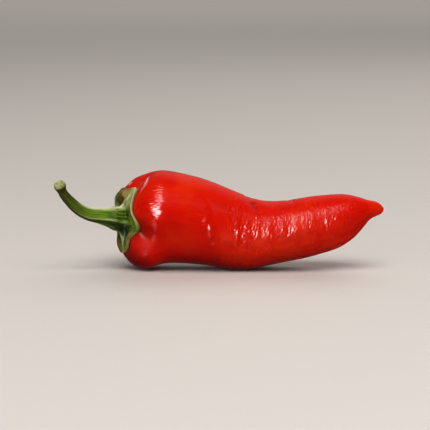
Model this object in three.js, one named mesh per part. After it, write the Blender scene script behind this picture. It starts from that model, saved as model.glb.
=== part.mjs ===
// A fresh red chilli pepper lying on its side, with its green calyx and bent stem.
// Millimetres. +X runs from the stem to the tip, -Y faces the viewer, +Z is up.
// The pepper rests on z = 0, and the origin is under the middle of its outer box.

import * as THREE from "three";

const { degToRad, lerp, smoothstep } = THREE.MathUtils;

// The pod's outline, as rings from the stem end to the tip. x is measured from near the stem end.
// Each row: top x, top z, bottom x, bottom z, half the width in y, and y at the ring's middle.
// A place along the pod is given below as a ring coordinate: 0 is the first row, 1 the next.
const POD_RINGS = [
  [1.8, 14.7, 1.8, 14.7, 0, -2.0],
  [1.6, 17.3, 1.5, 12.1, 2.7, -2.0],
  [1.5, 20.2, 1.2, 8.7, 5.9, -1.9],
  [2.0, 22.6, 1.2, 5.6, 8.6, -1.7],
  [3.3, 24.9, 2.0, 2.8, 11.0, -1.3],
  [6.1, 27.3, 4.2, 0.7, 13.0, -0.8],
  [10.1, 28.5, 7.5, -0.2, 14.1, -0.3],
  [15.1, 28.4, 12.5, 1.4, 13.9, 0],
  [20.9, 27.15, 19.1, 1.7, 13.2, -0.1],
  [27.0, 25.0, 25.5, 1.05, 12.4, -0.35],
  [33.3, 22.45, 31.6, -0.1, 11.6, -0.7],
  [39.1, 20.2, 37.4, -0.2, 10.8, -1.1],
  [44.05, 19.7, 43.45, 1.0, 10.2, -1.5],
  [49.2, 20.2, 50.1, 2.35, 9.6, -1.95],
  [54.65, 21.2, 56.65, 4.2, 8.9, -2.4],
  [60.1, 21.7, 62.65, 6.5, 7.9, -2.9],
  [64.9, 21.85, 67.3, 9.55, 6.5, -3.3],
  [68.65, 21.35, 70.45, 12.85, 4.6, -3.6],
  [71.2, 20.55, 72.1, 14.75, 3.2, -3.8],
  [73.45, 20.1, 74.05, 15.8, 2.2, -3.9],
  [75.05, 19.2, 75.35, 16.5, 1.3, -4.0],
  [76.05, 17.8, 76.05, 17.8, 0, -4.0],
];
const POD_STEPS_PER_RING = 3;
const POD_SIDES = 56;

// The stem end is turned a little towards the viewer, and the turn fades out along the pod.
const HEAD_TURN = degToRad(19);
const HEAD_AXIS = new THREE.Vector3(Math.cos(HEAD_TURN), Math.sin(HEAD_TURN), 0);
const TURN_FADES = [3.2, 9]; // ring coordinates, as are the other pairs of this kind

// Angles round the pod: 0 faces the viewer and 90 degrees is up.
// The three grooves between the pod's lobes: angle at ring coordinate GROOVES_TURN_FROM, how far
// it turns from one ring to the next, depth as a share of the radius, width, and the ring
// coordinates between which it fades.
const GROOVES = [
  { angle: degToRad(80), turns: degToRad(6), depth: 0.12, width: degToRad(20), fade: [4.5, 6.6] },
  { angle: degToRad(-16), turns: degToRad(-2), depth: 0.15, width: degToRad(24), fade: [5.5, 10] },
  { angle: degToRad(200), turns: 0, depth: 0.17, width: degToRad(22), fade: [5.5, 10] },
];
const GROOVES_TURN_FROM = 4.5;
const GROOVES_DEEPEN = [0.5, 4];

// The grooves also cut into the flat stem end: in mm, per share of depth.
const SET_BACK = 10;
const SET_BACK_BEGINS = [0.8, 3];
const SET_BACK_FADES = [3.8, 7];

// The pod isn't quite round. Each swell: share of the radius, how many there are round the pod,
// and the angle by which they wind from one ring to the next.
const SWELLS = [
  { share: 0.012, count: 2, wind: 1.1 },
  { share: 0.01, count: 3, wind: -0.8 },
];
const SWELLS_BEGIN = [4, 8];

// The calyx: five lobes, each with a rib that runs out from the stem. Each row: the lobe's
// angle, the ring coordinate of its tip, and that of the rim in the gap before the next lobe.
const LOBES = [
  { angle: degToRad(66), tip: 4.1, gap: 3.35 },
  { angle: degToRad(140), tip: 3.25, gap: 2.8 },
  { angle: degToRad(214), tip: 3.5, gap: 3.2 },
  { angle: degToRad(290), tip: 3.2, gap: 2.7 },
  { angle: degToRad(354), tip: 3.7, gap: 3.25 },
];
const LOBE_SHARPNESS = 3;
const CALYX_GAP = 0.3;
const CALYX_THICKNESS = 0.5;
const RIB_HEIGHT = 1.0;
const RIB_SHARPNESS = 9;
const RIB_FALL = 0.6; // share of its height that a rib loses towards the lobe's tip
const LIP_HEIGHT = 0.5;
const LIP_WIDTH = 0.25; // in ring coordinates
const CALYX_SIDES = LOBES.length * 16;
const CALYX_SHARES = [0, 0.25, 0.5, 0.72, 0.9, 1]; // of the way from the flare to the rim
const INNER_SHARES = [1, 0.75, 0.5, 0.25]; // of the way from the middle to the rim

// The stem's centreline from its cut end to the calyx. Each row: x, y, z and radius.
const STEM_RINGS = [
  [-17.0, -9.4, 25.8, 1.5],
  [-16.7, -9.0, 25.0, 1.75],
  [-16.2, -8.5, 23.7, 1.3],
  [-15.3, -7.8, 22.0, 1.35],
  [-13.4, -7.0, 19.8, 1.5],
  [-11.2, -6.3, 17.8, 1.65],
  [-8.4, -5.4, 16.5, 1.9],
  [-5.5, -4.6, 16.0, 2.25],
  [-3.3, -3.9, 15.6, 2.7],
  [-1.5, -3.4, 15.3, 3.3],
];
const STEM_STEPS_PER_RING = 2;
const LAST_STEM_RING = STEM_RINGS.length - 1;
const CUT_DISH = 0.25; // how deep the cut end is dished
const CUT_DISH_SHARE = 0.55; // of the stem's radius
const CUT_EDGE_SHARE = 0.9;

// Low ridges along the stem lead into the calyx's ribs, and grow towards the flare.
const STEM_RIDGE = 0.07; // share of the stem's radius
const FLARE_RIDGE = 0.16;
const STEM_RIDGE_BEGINS = [1, 4]; // stem rings
const FLARE_RIDGE_BEGINS = [6, LAST_STEM_RING];

// The flare runs from the stem's last ring out on to the calyx.
const VALLEY_RING = 1.4; // ring coordinate where it ends between two ribs
const RIB_RING = 2.2; // and where it ends along a rib
const RIB_RING_SHARPNESS = 4;
const FLARE_REACH = 0.45; // how far each end stays straight, as a share of the flare's length
const FLARE_STEPS = 6;

const STEP = 0.02; // the short step in ring coordinate or angle that a slope is taken over

// The value at coordinate u of a smooth curve through rows of numbers, where row i lies at u = i.
// before and after are the rows that it runs on to past its ends.
function splineAt(rows, u, before, after) {
  const i = Math.min(Math.floor(u), rows.length - 2);
  const f = u - i;
  const left = rows[i - 1] ?? before;
  const right = rows[i + 2] ?? after;
  return rows[i].map((b, k) => {
    const [a, c, d] = [left[k], rows[i + 1][k], right[k]];
    return b + 0.5 * f * (c - a + f * (2 * a - 5 * b + 4 * c - d + f * (3 * (b - c) + d - a)));
  });
}

// From 0 before a pair of ring coordinates to 1 after it, and the other way round.
function begins(u, [from, to]) {
  return smoothstep(u, from, to);
}

function fades(u, pair) {
  return 1 - begins(u, pair);
}

// A pod ring seen from the far side of the axis, so that both ends of the pod come out round.
function mirrored([topX, topZ, bottomX, bottomZ, halfWidth, y]) {
  return [bottomX, bottomZ, topX, topZ, -halfWidth, y];
}

// 1 at the middle angle, falling to nothing a few widths to either side.
function bell(angle, middle, width) {
  const away = Math.atan2(Math.sin(angle - middle), Math.cos(angle - middle)) / width;
  return Math.exp(-away * away);
}

function grooveDepth(u, angle) {
  const depths = GROOVES.map((groove) => {
    const middle = groove.angle + groove.turns * (u - GROOVES_TURN_FROM);
    return groove.depth * bell(angle, middle, groove.width) * fades(u, groove.fade);
  });
  return depths.reduce((sum, depth) => sum + depth, 0);
}

function swell(u, angle) {
  return SWELLS.reduce((sum, s) => sum + s.share * Math.sin(s.count * angle + s.wind * u), 0);
}

// The pod's skin at ring coordinate u, at an angle round it, with or without its grooves.
function podPoint(u, angle, grooved = true) {
  const before = mirrored(POD_RINGS[1]);
  const after = mirrored(POD_RINGS.at(-2));
  const [topX, topZ, bottomX, bottomZ, halfWidth, y] = splineAt(POD_RINGS, u, before, after);
  const depth = grooved ? grooveDepth(u, angle) : 0;
  const groove = depth * begins(u, GROOVES_DEEPEN);
  const radius = 1 - groove + swell(u, angle) * begins(u, SWELLS_BEGIN);
  const across = radius * Math.cos(angle) * halfWidth;
  const up = (radius * Math.sin(angle)) / 2;
  const turn = HEAD_TURN * fades(u, TURN_FADES);
  const point = new THREE.Vector3(
    (topX + bottomX) / 2 + (topX - bottomX) * up + Math.sin(turn) * across,
    y - Math.cos(turn) * across,
    (topZ + bottomZ) / 2 + (topZ - bottomZ) * up,
  );
  const setBack = SET_BACK * depth * begins(u, SET_BACK_BEGINS) * fades(u, SET_BACK_FADES);
  point.addScaledVector(HEAD_AXIS, setBack);
  point.z = Math.max(point.z, 0); // the skin is pressed flat where it lies on the surface
  return point;
}

// The way outwards from the pod, which the grooves leave unchanged.
function outwards(u, angle) {
  const along = podPoint(u + STEP, angle, false);
  along.sub(podPoint(Math.max(u - STEP, 0), angle, false));
  const round = podPoint(u, angle + STEP, false);
  round.sub(podPoint(u, angle - STEP, false));
  return along.cross(round).normalize();
}

// How many lobes an angle is on from the first. A whole number is the middle of a lobe.
function lobesOn(angle) {
  const full = 2 * Math.PI;
  const past = (angle - LOBES[0].angle + 2 * full) % full;
  const middles = [...LOBES.map((row) => row.angle - LOBES[0].angle), full];
  const next = middles.findIndex((middle, i) => i > 0 && past <= middle);
  return next - 1 + (past - middles[next - 1]) / (middles[next] - middles[next - 1]);
}

// From 0 between two lobes to 1 on a lobe's middle line. A higher sharpness is narrower.
function lobe(angle, sharpness) {
  return Math.abs(Math.cos(Math.PI * lobesOn(angle))) ** sharpness;
}

// The ring coordinate of the calyx's rim.
function rimRing(angle) {
  const { gap } = LOBES[Math.floor(lobesOn(angle)) % LOBES.length];
  const { tip } = LOBES[Math.round(lobesOn(angle)) % LOBES.length];
  return lerp(gap, tip, lobe(angle, LOBE_SHARPNESS));
}

// The ring coordinate where the stem's flare lies down on the calyx.
function flareRing(angle) {
  return lerp(VALLEY_RING, RIB_RING, lobe(angle, RIB_RING_SHARPNESS));
}

// The calyx's outer face: a thin cup on the pod, with ribs, and a lip along its rim.
function calyxPoint(u, angle) {
  const rim = rimRing(angle);
  const fall = RIB_FALL * smoothstep(u, rim / 2, rim);
  const rib = RIB_HEIGHT * lobe(angle, RIB_SHARPNESS) * (1 - fall);
  const lip = LIP_HEIGHT * Math.exp(-(((rim - u) / LIP_WIDTH) ** 2));
  const height = CALYX_GAP + CALYX_THICKNESS + rib + lip;
  return podPoint(u, angle).addScaledVector(outwards(u, angle), height);
}

// The calyx's inner face, which follows the pod across a small gap.
function innerPoint(u, angle) {
  return podPoint(u, angle).addScaledVector(outwards(u, angle), CALYX_GAP);
}

function stemRow(s) {
  return splineAt(STEM_RINGS, s, STEM_RINGS[0], STEM_RINGS.at(-1));
}

// The stem's direction towards the calyx.
function stemDirection(s) {
  const [x1, y1, z1] = stemRow(Math.max(s - STEP, 0));
  const [x2, y2, z2] = stemRow(Math.min(s + STEP, LAST_STEM_RING));
  return new THREE.Vector3(x2 - x1, y2 - y1, z2 - z1).normalize();
}

// The stem's skin at coordinate s, or a point at a share of the way out to it.
function stemPoint(s, angle, share = 1) {
  const [x, y, z, radius] = stemRow(s);
  const direction = stemDirection(s);
  const front = new THREE.Vector3(0, -1, 0);
  front.addScaledVector(direction, -front.dot(direction)).normalize();
  const up = front.clone().cross(direction);
  const low = STEM_RIDGE * begins(s, STEM_RIDGE_BEGINS);
  const ridge = lerp(low, FLARE_RIDGE, begins(s, FLARE_RIDGE_BEGINS));
  const r = share * radius * (1 + ridge * (2 * lobe(angle, LOBE_SHARPNESS) - 1));
  return new THREE.Vector3(x, y, z)
    .addScaledVector(front, r * Math.cos(angle))
    .addScaledVector(up, r * Math.sin(angle));
}

// The flare from the stem's last ring, at f = 0, out on to the calyx, at f = 1.
function flarePoint(f, angle) {
  const start = stemPoint(LAST_STEM_RING, angle);
  const end = calyxPoint(flareRing(angle), angle);
  const outward = calyxPoint(flareRing(angle) + STEP, angle).sub(end).normalize();
  const reach = FLARE_REACH * start.distanceTo(end);
  const curve = new THREE.CubicBezierCurve3(
    start,
    start.clone().addScaledVector(stemDirection(LAST_STEM_RING), reach),
    end.clone().addScaledVector(outward, -reach),
    end,
  );
  return curve.getPoint(f);
}

// A ring of points, from a function of the angle.
function ring(sides, pointAt) {
  return Array.from({ length: sides }, (_, j) => pointAt((2 * Math.PI * j) / sides));
}

// A closed skin over rings of points, from a first point to a last one.
function skin(first, rings, last) {
  const sides = rings[0].length;
  const vertices = [first, ...rings.flat(), last];
  const triangles = [];
  for (let j = 0; j < sides; j++) {
    const next = (j + 1) % sides;
    triangles.push(0, 1 + j, 1 + next);
    for (let i = 0; i < rings.length - 1; i++) {
      const [a, b] = [1 + i * sides, 1 + (i + 1) * sides];
      triangles.push(a + j, b + j, b + next, a + j, b + next, a + next);
    }
    const end = 1 + (rings.length - 1) * sides;
    triangles.push(end + next, end + j, vertices.length - 1);
  }
  const geometry = new THREE.BufferGeometry().setFromPoints(vertices).setIndex(triangles);
  geometry.computeVertexNormals();
  return geometry;
}

function makePod() {
  const last = POD_RINGS.length - 1;
  const rings = [];
  for (let k = 1; k < last * POD_STEPS_PER_RING; k++)
    rings.push(ring(POD_SIDES, (angle) => podPoint(k / POD_STEPS_PER_RING, angle)));
  const waxyRed = { color: 0xc4140a, roughness: 0.25, metalness: 0 };
  const pod = new THREE.Mesh(
    skin(podPoint(0, 0), rings, podPoint(last, 0)),
    new THREE.MeshStandardMaterial(waxyRed),
  );
  pod.name = "pod";
  return pod;
}

function makeStemAndCalyx() {
  const rings = [];
  const add = (pointAt) => rings.push(ring(CALYX_SIDES, pointAt));

  // The cut end, then the stem.
  const dish = stemDirection(0).multiplyScalar(CUT_DISH);
  add((angle) => stemPoint(0, angle, CUT_DISH_SHARE).add(dish));
  add((angle) => stemPoint(0, angle, CUT_EDGE_SHARE));
  for (let k = 1; k <= LAST_STEM_RING * STEM_STEPS_PER_RING; k++)
    add((angle) => stemPoint(k / STEM_STEPS_PER_RING, angle));

  // The flare, the calyx out to its rim, and its inner face back to the middle.
  for (let k = 1; k < FLARE_STEPS; k++) add((angle) => flarePoint(k / FLARE_STEPS, angle));
  for (const share of CALYX_SHARES)
    add((angle) => calyxPoint(lerp(flareRing(angle), rimRing(angle), share), angle));
  for (const share of INNER_SHARES) add((angle) => innerPoint(share * rimRing(angle), angle));

  const leafGreen = { color: 0x5d8526, roughness: 0.55, metalness: 0 };
  const stemAndCalyx = new THREE.Mesh(
    skin(stemPoint(0, 0, 0).add(dish), rings, innerPoint(0, 0)),
    new THREE.MeshStandardMaterial(leafGreen),
  );
  stemAndCalyx.name = "stem_and_calyx";
  return stemAndCalyx;
}

const pepper = new THREE.Group();
pepper.add(makePod(), makeStemAndCalyx());
const bounds = new THREE.Box3().setFromObject(pepper);
const middle = bounds.getCenter(new THREE.Vector3());
pepper.position.set(-middle.x, -middle.y, -bounds.min.z);

export default pepper;
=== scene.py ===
"""The looks of a fresh red chilli pepper: its waxy pod, its green calyx and its cut stem."""

import math

import bpy
import numpy as np
from bpy.props import FloatProperty, FloatVectorProperty, IntProperty, PointerProperty
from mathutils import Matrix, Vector, noise


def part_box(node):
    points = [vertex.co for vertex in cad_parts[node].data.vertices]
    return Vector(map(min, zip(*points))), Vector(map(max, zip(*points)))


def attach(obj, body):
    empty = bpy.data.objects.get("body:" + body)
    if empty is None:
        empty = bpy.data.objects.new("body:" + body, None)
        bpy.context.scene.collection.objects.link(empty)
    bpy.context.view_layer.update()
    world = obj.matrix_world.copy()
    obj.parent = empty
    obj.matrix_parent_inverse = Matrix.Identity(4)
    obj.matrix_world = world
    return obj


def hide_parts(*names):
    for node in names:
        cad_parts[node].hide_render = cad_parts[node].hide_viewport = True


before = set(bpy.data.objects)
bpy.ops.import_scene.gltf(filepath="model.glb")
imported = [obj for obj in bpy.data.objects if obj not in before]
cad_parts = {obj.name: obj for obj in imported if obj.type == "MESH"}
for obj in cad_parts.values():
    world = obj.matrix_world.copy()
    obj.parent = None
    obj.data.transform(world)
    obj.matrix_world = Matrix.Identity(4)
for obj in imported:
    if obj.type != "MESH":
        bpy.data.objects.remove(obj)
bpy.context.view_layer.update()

bl_info = {
    "name": "Red chilli pepper",
    "version": (1, 0, 0),
    "blender": (4, 5, 0),
    "location": "3D View > Sidebar > Pepper",
    "description": "Builds a fresh red chilli pepper and the stage that it lies on",
    "category": "Add Mesh",
}

# Shapes are worked out in millimetres, in the source's own frame: +X runs from the stem to the
# tip, -Y faces the viewer and +Z is up. MM turns them into metres.
MM = 0.001

# The pod's outline, as rings from the stem end to the tip.
# Each row: top x, top z, bottom x, bottom z, half the width in y, and y at the ring's middle.
# A place along the pod is given below as a ring coordinate: 0 is the first row, 1 the next.
POD_RINGS = np.array([
    [1.8, 14.7, 1.8, 14.7, 0, -2.0],
    [1.6, 17.3, 1.5, 12.1, 2.7, -2.0],
    [1.5, 20.2, 1.2, 8.7, 5.9, -1.9],
    [2.0, 22.6, 1.2, 5.6, 8.6, -1.7],
    [3.3, 24.9, 2.0, 2.8, 11.0, -1.3],
    [6.1, 27.3, 4.2, 0.7, 13.0, -0.8],
    [10.1, 28.5, 7.5, -0.2, 14.1, -0.3],
    [15.1, 28.4, 12.5, 1.4, 13.9, 0],
    [20.9, 27.15, 19.1, 1.7, 13.2, -0.1],
    [27.0, 25.0, 25.5, 1.05, 12.4, -0.35],
    [33.3, 22.45, 31.6, -0.1, 11.6, -0.7],
    [39.1, 20.2, 37.4, -0.2, 10.8, -1.1],
    [44.05, 19.7, 43.45, 1.0, 10.2, -1.5],
    [49.2, 20.2, 50.1, 2.35, 9.6, -1.95],
    [54.65, 21.2, 56.65, 4.2, 8.9, -2.4],
    [60.1, 21.7, 62.65, 6.5, 7.9, -2.9],
    [64.9, 21.85, 67.3, 9.55, 6.5, -3.3],
    [68.65, 21.35, 70.45, 12.85, 4.6, -3.6],
    [71.2, 20.55, 72.1, 14.75, 3.2, -3.8],
    [73.45, 20.1, 74.05, 15.8, 2.2, -3.9],
    [75.05, 19.2, 75.35, 16.5, 1.3, -4.0],
    [76.05, 17.8, 76.05, 17.8, 0, -4.0],
])
LAST_POD_RING = len(POD_RINGS) - 1
# The head's rings are turned so that the stem's side faces the viewer a little. The turn fades
# between two rings.
HEAD_TURN = math.radians(19)
HEAD_AXIS = np.array([math.cos(HEAD_TURN), math.sin(HEAD_TURN), 0])
TURN_FADES = (3.2, 9)

# Angles round the pod: 0 faces the viewer and 90 degrees is up.
# The three grooves. Each: its angle at ring 4.5 and how far it turns from one ring to the next, in
# degrees, its depth as a share of the radius, its width in degrees, and the rings between which
# it fades.
GROOVES = (
    (80, 6, 0.12, 20, (4.5, 6.6)),
    (-16, -2, 0.15, 24, (5.5, 10)),
    (200, 0, 0.17, 22, (5.5, 10)),
)
GROOVE_TURNS_FROM = 4.5
GROOVES_DEEPEN = (0.5, 4)
# A groove also sets the head back from the stem, by this many mm times its depth.
SET_BACK = 10
SET_BACK_BEGINS = (0.8, 3)
SET_BACK_FADES = (3.8, 7)
# The sharp creases at the bottom of the grooves: depth and width in mm, and the rings between
# which each one fades. They wander from side to side by this many radians.
CREASES = ((0.5, 0.6, (5.2, 7.6)), (0.4, 0.7, (4.2, 5.6)), (0.5, 0.7, (5.0, 7.5)))
CREASES_BEGIN = (1.5, 3.2)
CREASE_WANDER = 0.04
# Slight swells. Each: its share of the radius, how many lie round the pod, and how they wind.
SWELLS = ((0.012, 2, 1.1), (0.01, 3, -0.8))
SWELLS_BEGIN = (4, 8)

# Single folds in the skin. Each: the ring coordinate and the angle in degrees where it starts and
# where it ends, its depth in mm, or its height where that is below 0, and its width in mm.
FOLDS = (
    (10.3, 98, 11.2, 40, 0.55, 1.6),
    (12.8, 108, 13.4, 62, 0.22, 1.1),
    (9.7, 150, 10.9, 196, 0.3, 1.5),
    (12.3, 168, 13.5, 215, 0.22, 1.2),
    (14.2, 140, 14.9, 185, 0.16, 1.0),
    (8.3, 40, 9.5, -46, -0.42, 1.2),
    (10.05, 40, 10.15, -34, -0.13, 0.6),
    (10.5, 40, 10.55, 8, -0.09, 0.6),
    (11.0, 40, 11.1, -10, -0.08, 0.8),
    (11.75, 44, 11.8, -14, -0.09, 0.8),
    (12.5, 44, 12.6, -10, -0.1, 0.8),
    (13.3, 40, 13.3, -22, -0.17, 0.8),
    (14.15, 44, 14.2, 6, -0.14, 0.7),
    (14.95, 38, 14.95, -18, -0.15, 0.7),
    (15.6, 30, 15.5, -8, -0.13, 0.6),
    (16.4, 36, 16.5, 0, -0.11, 0.6),
)
# The pod's radius where the folds are, how far a fold wavers, and the size of its patches, in mm.
FOLD_RADIUS = 10.5
FOLD_WAVER = 0.35
FOLD_PATCH = 2.5
# Beside a fold, on the tip's side, the skin rises by this share of the fold's depth.
FOLD_SHOULDER = 0.35
# Folds deeper than this, in mm, also get painted shade.
FOLDS_SHADED_FROM = 0.12
# The height in mm of the soft dents all over the pod, which fade at both ends.
SOFT_DENTS = 0.16
DENTS_BEGIN = (3, 6)
DENTS_FADE = (17, 20)
# The thin half's wrinkles, from long to short ones. Each: the length of a wave along the pod and
# the length of a crest round it in mm, and the height in mm.
WRINKLES = ((2.2, 4.5, 0.045), (1.0, 2.2, 0.075), (0.6, 1.2, 0.08))
WRINKLES_BEGIN = (9.3, 10.3)
WRINKLES_FADE = (15.8, 17.6)
WRINKLES_ELSEWHERE = 0.12
WRINKLES_MIDDLE = math.radians(12)
WRINKLES_REACH = math.radians(42)
WRINKLES_AROUND = 0.35
WAIST_WRINKLES = 0.9
WAIST_RING = 10.2
WAIST_WIDTH = 0.7
# The fine ripples that run along the head. They are weak round the middle of the lower lobe, at
# this angle and over this width in radians.
RIPPLES_BEGIN = (2.5, 4)
RIPPLES_FADE = (7.5, 10.5)
CALM_MIDDLE = math.radians(-38)
CALM_WIDTH = 0.5
# Where the lighter tip begins, the direction that the painted shade on the underside faces,
# and how squarely.
TIP_BEGINS = (17, 20.5)
SHADED_UNDERSIDE = np.array([-0.55, 0, -0.84])
UNDERSIDE_BEGINS = (0.28, 0.88)
# How far apart the mesh's rings are: pairs of a ring coordinate and a distance in mm.
RING_SPACING = np.array([[0, 0.3], [6, 0.3], [8.5, 0.17], [17, 0.17], [19, 0.22], [21, 0.28]])

# The calyx: five lobes, each with a rib. Each row: the ring coordinate of the lobe's tip, and of
# the rim in the gap between it and the next lobe.
LOBE_ANGLES = np.radians([66, 140, 214, 290, 354])
LOBES = np.array([[4.1, 3.35], [3.25, 2.8], [3.5, 3.2], [3.2, 2.7], [3.7, 2.8]])
TIP_RING, GAP_RING = LOBES.T
# The ribs on those lobes: height in mm, sharpness, sharpness of the pale crest, and how pale it is
# on the calyx and on the stem. The pale crest is partly the ribs' own colour and partly a painted
# highlight, strongest on the top rib.
RIBS = np.array([
    [1.3, 8, 6, 1.0, 1.0],
    [1.0, 9, 40, 0.5, 0.5],
    [1.0, 9, 40, 0.5, 0.5],
    [1.0, 14, 50, 0.5, 0.4],
    [0.95, 5, 40, 0.1, 0.45],
])
RIB_HEIGHT, RIB_SHARPNESS, CREST_SHARPNESS, CALYX_CREST, STEM_CREST = RIBS.T
# The thin skin in the gaps after them: how far it bulges and how deep its valley is in mm, then
# how creamy its edge, how olive its skin, how much painted shade its side of the stem gets and
# how much painted shade its valley gets, and how far the valley lies from the stem towards the rim.
GAPS = np.array([
    [0.7, 0.0, 0.25, 1.0, 0.1, 0.0, 0.3],
    [0.3, 0.3, 0.3, 0.8, 0.4, 0.9, 0.3],
    [0.5, 0.2, 0.25, 0.9, 0.7, 1.0, 0.3],
    [0.25, 0.6, 0.3, 0.8, 1.0, 1.0, 0.3],
    [-0.1, 0.7, 1.0, 0.4, 0.0, 1.0, 0.62],
])
GAP_BULGE, VALLEY_DEPTH, EDGE_CREAM, SKIN_OLIVE, SIDE_SHADE, VALLEY_SHADE, VALLEY_PLACE = GAPS.T
# A valley that lies nearer to the stem than this runs on into the flare.
NEAR_THE_STEM = 0.4
VALLEY_WIDTH = 0.2
BULGE_PLACE = 0.62
BULGE_WIDTH = 0.25
LOBE_SHARPNESS = 3
# The gap between the pod and the calyx, and the calyx's thickness, in mm.
CALYX_GAP = 0.08
CALYX_THICKNESS = 0.55
# The share of its height that a rib loses on its way to the rim, and the lip along the rim.
RIB_FALL = 0.6
LIP_HEIGHT = 0.3
LIP_WIDTH = 0.14
# The small knob that each rib ends in, just inside the rim.
KNOB_HEIGHT = 0.35
KNOB_INSIDE = 0.25
KNOB_WIDTH = 0.35

# The stem's centreline from its cut end to the calyx. Each row: x, y, z and radius.
STEM_RINGS = np.array([
    [-17.0, -9.4, 25.8, 1.5],
    [-16.7, -9.0, 25.0, 1.75],
    [-16.2, -8.5, 23.7, 1.3],
    [-15.3, -7.8, 22.0, 1.35],
    [-13.4, -7.0, 19.8, 1.5],
    [-11.2, -6.3, 17.8, 1.65],
    [-8.4, -5.4, 16.5, 1.9],
    [-5.5, -4.6, 16.0, 2.25],
    [-3.3, -3.9, 15.6, 2.7],
    [-1.5, -3.4, 15.3, 3.3],
])
LAST_STEM_RING = len(STEM_RINGS) - 1
# Where the lobes' ridges run along the stem, before they turn to the lobes' own angles.
RIDGE_ANGLES = np.radians([80, 150, 214, 272, 332])
RIDGES_TURN = (5.5, 8.8)
# The height of the ridges as a share of the stem's radius.
STEM_RIDGE = 0.07
FLARE_RIDGE = 0.16
STEM_RIDGE_BEGINS = (1, 4)
FLARE_RIDGE_BEGINS = (6, LAST_STEM_RING)
# The ring coordinates where the flare lies down on the calyx, in the valleys and on the ribs.
VALLEY_RING = 1.4
RIB_RING = 2.2
RIB_RING_SHARPNESS = 4
FLARE_REACH = 0.45
# The cut face: the shares of its radius where it has rings, how deep it is dished in mm, and the
# raised ring inside its edge, with its height in mm, its share of the radius and its width.
CUT_SHARES = np.array([0.12, 0.25, 0.4, 0.55, 0.7, 0.82, 0.9, 0.96])
CUT_DISH = 0.3
CUT_RING = (0.12, 0.86, 0.08)
# Where the green skin's parts lie along its grain, in mm.
CUT_ALONG, FLARE_ALONG, CALYX_ALONG, RIM_ALONG = -24.0, 0.0, 4.0, 10.0
STEP = 0.02  # the step in ring coordinates or radians that directions are worked out over

# Smooth noise: how far apart the places of two seeds lie, what its values are scaled by, and
# about how long a wave of it is.
SEED_STEP = 17.3
NOISE_SCALE = 1.4
NOISE_WAVE = 1.6

# The camera looks along +Y and a little down, as in the photo. The middle of the picture lies off
# the point at AIM_HEIGHT above the origin by AIM_RIGHT and AIM_UP.
CAMERA_ELEVATION = math.radians(8)
CAMERA_DISTANCE = 0.6
SENSOR_WIDTH = 36.0
PHOTO_PIXELS = 430
PIXEL = 0.29 * MM
PICTURE_WIDTH = PHOTO_PIXELS * PIXEL
AIM_HEIGHT = 14 * MM
AIM_RIGHT = -1.34 * MM
AIM_UP = 1.5 * MM

# The lights round the pepper. Each: its name, its azimuth and elevation in degrees, its width and
# height in metres, and True if it makes only highlights, or False if only soft light.
LIGHTS = (
    ("soft", 8, 58, (0.8, 0.8), False),
    ("fill", 150, 45, (0.8, 0.8), False),
    ("low", -46, -34, (0.34, 0.42), True),
    ("rim", -155, 16, (0.08, 0.08), True),
    ("window", -31, 13, (0.48, 0.55), True),
    ("upper", -30, 54, (0.27, 0.56), True),
)
LIGHT_DISTANCE = 0.9
# The light over the far floor hangs this high above that place, and shines straight down.
FAR_FLOOR = Vector((0, 2.1, 0))
FAR_LIGHT_HEIGHT = Vector((0, 0, 1.2))
FAR_LIGHT_SIZE = (4.0, 2.0)
# The middle of the room's soft glow, in degrees.
GLOW_AZIMUTH = 165
GLOW_ELEVATION = 32
ROOM_COLOUR = (1.0, 0.96, 0.92)
FLOOR_HALF_WIDTH = 6.0


def colour_property(name, default, description):
    """A colour that a user can change."""
    return FloatVectorProperty(
        name=name, default=default, size=3, subtype="COLOR", min=0, max=1, description=description,
    )


def power_property(name, default, description):
    """A light's power in watts."""
    return FloatProperty(name=name, default=default, min=0, unit="POWER", description=description)


class PepperPodSettings(bpy.types.PropertyGroup):
    """Sizes and colours of the pod."""

    sides: IntProperty(
        name="Sides", default=220, min=24, description="Points of the mesh round the pod",
    )
    wrinkles: FloatProperty(
        name="Wrinkles", default=1.0, min=0, subtype="FACTOR",
        description="How high the wrinkles stand that cross the thin half of the pod",
    )
    ripple_height: FloatProperty(
        name="Ripple height", default=0.11 * MM, unit="LENGTH", subtype="DISTANCE",
        description="Height of the fine ripples that run along the head",
    )
    roughness: FloatProperty(
        name="Roughness", default=0.25, min=0, max=1, subtype="FACTOR",
        description="How soft the reflections in the waxy skin are",
    )
    red: colour_property("Red", (0.58, 0.008, 0.0), "Colour of the ripe skin")
    orange_red: colour_property(
        "Orange red", (0.7, 0.034, 0.0), "Colour of the lighter patches and of the tip",
    )
    # Deep red is the streaks' own colour, and in the creases and deep folds it is painted shade.
    deep_red: colour_property(
        "Deep red", (0.24, 0.0, 0.001), "Colour of the streaks and of the creases",
    )
    # The underside's colour is painted shade.
    underside_shade_red: colour_property("Maroon", (0.17, 0.0, 0.001), "Colour of the pod's underside")


class PepperStemSettings(bpy.types.PropertyGroup):
    """Sizes and colours of the calyx and the stem."""

    sides_per_lobe: IntProperty(
        name="Sides per lobe", default=56, min=8,
        description="Points of the mesh round each of the calyx's five lobes",
    )
    green: colour_property("Green", (0.13, 0.23, 0.003), "Colour of the stem")
    # Dark green is the streaks' own colour, and in the valleys, crinkles and dents it is painted
    # shade.
    dark_green: colour_property(
        "Dark green", (0.012, 0.028, 0.001), "Colour of the valleys and of the streaks",
    )
    # Grey green is painted shade on the stem's lower sides.
    side_shade_green: colour_property(
        "Grey green", (0.035, 0.045, 0.018), "Colour of the stem's dull sides",
    )
    # On the ribs this is partly their own colour and partly a painted highlight.
    pale_green: colour_property(
        "Pale green", (0.68, 0.66, 0.36), "Colour of the ridges and ribs",
    )
    olive: colour_property(
        "Olive", (0.2, 0.12, 0.012), "Colour of the thin skin between the ribs",
    )
    neck: colour_property("Neck", (0.05, 0.036, 0.01), "Colour of the stem near its cut end")
    cream: colour_property("Cream", (0.52, 0.38, 0.24), "Colour of the calyx's edge")
    cut_face: colour_property("Cut face", (0.37, 0.37, 0.15), "Colour of the stem's cut end")


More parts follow.
